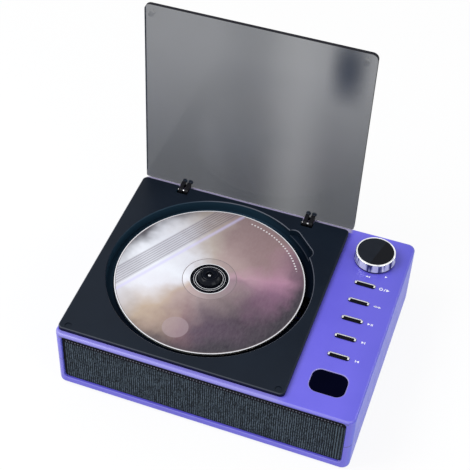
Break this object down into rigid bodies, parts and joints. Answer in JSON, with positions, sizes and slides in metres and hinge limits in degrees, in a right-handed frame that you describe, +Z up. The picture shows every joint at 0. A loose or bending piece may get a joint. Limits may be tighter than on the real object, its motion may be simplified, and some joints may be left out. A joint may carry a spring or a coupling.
{
  "type": "compact disc player",
  "caption": "Wall or table disc player with a flip-up smoked lid, open disc well, volume knob, long push buttons, small display window and a cloth speaker grille.",
  "frame": {"origin": "centre between the two keyholes, on the case's underside", "axes": "+Z up out of the deck, +Y to the lid's hinges (up when it hangs on a wall), +X to the control strip"},
  "size_m": [0.187, 0.1535, 0.1869],
  "materials": {
    "purple_case": "satin",
    "black_deck": "satin moulded",
    "black_plastic": "matte",
    "smoked_acrylic": "gloss, see-through",
    "clear_rubber": "clear soft",
    "chrome_trim": "bright",
    "steel": "plain",
    "black_rubber": "matte",
    "board_green": "solder resist",
    "window_black": "gloss",
    "display_glass": "dark",
    "grille_fabric": "woven",
    "cone_paper": "pressed paper",
    "magnet_iron": "ferrite",
    "chassis_plastic": "moulded",
    "gear_white": "acetal",
    "hub_plastic": "gloss",
    "lens_glass": "coated",
    "disc_polycarbonate": "printed label side",
    "encoder_metal": "plain",
    "battery_wrap": "shrink film"
  },
  "bodies": {
    "case": {"upper_case": "purple_case", "lower_case": "purple_case", "case_screws": "steel", "rubber_feet": "black_rubber", "deck_plate": "black_deck", "deck_screws": "steel", "hinge_pins": "steel", "button_bezels": "chrome_trim", "control_board": "board_green", "control_board_screws": "steel", "tact_switches": "black_plastic", "display_window": "window_black", "display_module": "display_glass", "encoder_body": "encoder_metal", "grille_cloth": "grille_fabric", "grille_frame": "black_plastic", "speaker_screws": "steel", "mechanism_chassis": "chassis_plastic", "rubber_dampers": "black_rubber", "chassis_screws": "steel", "guide_rods": "steel", "spindle_motor": "steel", "sled_motor": "steel", "main_board": "board_green", "main_board_screws": "steel", "usb_socket": "steel", "headphone_jack": "black_plastic", "battery_pack": "battery_wrap", "speaker_basket_left": "steel", "speaker_cone_left": "cone_paper", "speaker_magnet_left": "magnet_iron", "speaker_basket_right": "steel", "speaker_cone_right": "cone_paper", "speaker_magnet_right": "magnet_iron"},
    "lid": {"lid_panel": "smoked_acrylic", "lid_bumpers": "clear_rubber", "hinge_arm_left": "black_plastic", "hinge_arm_right": "black_plastic", "lid_screws": "steel"},
    "volume_control": {"volume_knob": "chrome_trim", "knob_cap": "black_plastic", "encoder_shaft": "steel"},
    "spindle": {"spindle_shaft": "steel", "turntable_hub": "hub_plastic", "chuck_balls": "steel"},
    "loose_disc": {"disc": "disc_polycarbonate"},
    "sled": {"pickup_sled": "black_plastic"},
    "lens": {"pickup_lens": "lens_glass"},
    "gear": {"drive_gear": "gear_white"},
    "pinion": {"motor_pinion": "gear_white"},
    "power_button_cap": {"power_button": "black_plastic"},
    "repeat_button_cap": {"repeat_button": "black_plastic"},
    "play_button_cap": {"play_button": "black_plastic"},
    "next_button_cap": {"next_button": "black_plastic"},
    "previous_button_cap": {"previous_button": "black_plastic"}
  },
  "joints": [
    {"name": "lid_hinge", "type": "hinge", "parent": "case", "child": "lid", "pos_m": [-0.01995, 0.06685, 0.04765], "axis": [1, 0, 0], "range_deg": [0, 91.6]},
    {"name": "volume_turn", "type": "hinge", "parent": "case", "child": "volume_control", "pos_m": [0.0715, 0.0531, 0.05], "axis": [0, 0, 1], "continuous": true},
    {"name": "spindle_turn", "type": "hinge", "parent": "case", "child": "spindle", "pos_m": [-0.0208, 0.001, 0.0443], "axis": [0, 0, 1], "continuous": true},
    {"name": "disc_lift", "type": "slide", "parent": "spindle", "child": "loose_disc", "axis": [0, 0, 1], "range_m": [0, 0.0065]},
    {"name": "sled_travel", "type": "slide", "parent": "case", "child": "sled", "axis": [1, 0, 0], "range_m": [0, 0.034]},
    {"name": "lens_focus", "type": "slide", "parent": "sled", "child": "lens", "axis": [0, 0, 1], "range_m": [-0.0004, 0.0004], "stiffness_N_per_m": 60},
    {"name": "drive_gear_turn", "type": "hinge", "parent": "case", "child": "gear", "pos_m": [0.016, 0.0317, 0.034], "axis": [0, 0, 1], "range_deg": [0, 488]},
    {"name": "motor_pinion_turn", "type": "hinge", "parent": "case", "child": "pinion", "pos_m": [0.0285, 0.0317, 0.032], "axis": [0, 0, 1], "range_deg": [-1950, 0]},
    {"name": "power_press", "type": "slide", "parent": "case", "child": "power_button_cap", "axis": [0, 0, 1], "range_m": [-0.0007, 0], "stiffness_N_per_m": 400, "springref_m": 0.0002},
    {"name": "repeat_press", "type": "slide", "parent": "case", "child": "repeat_button_cap", "axis": [0, 0, 1], "range_m": [-0.0007, 0], "stiffness_N_per_m": 400, "springref_m": 0.0002},
    {"name": "play_press", "type": "slide", "parent": "case", "child": "play_button_cap", "axis": [0, 0, 1], "range_m": [-0.0007, 0], "stiffness_N_per_m": 400, "springref_m": 0.0002},
    {"name": "next_press", "type": "slide", "parent": "case", "child": "next_button_cap", "axis": [0, 0, 1], "range_m": [-0.0007, 0], "stiffness_N_per_m": 400, "springref_m": 0.0002},
    {"name": "previous_press", "type": "slide", "parent": "case", "child": "previous_button_cap", "axis": [0, 0, 1], "range_m": [-0.0007, 0], "stiffness_N_per_m": 400, "springref_m": 0.0002}
  ],
  "couplings": [
    {"joint": "drive_gear_turn", "follows": "sled_travel", "rad_per_m": 250},
    {"joint": "motor_pinion_turn", "follows": "sled_travel", "rad_per_m": -1000}
  ]
}
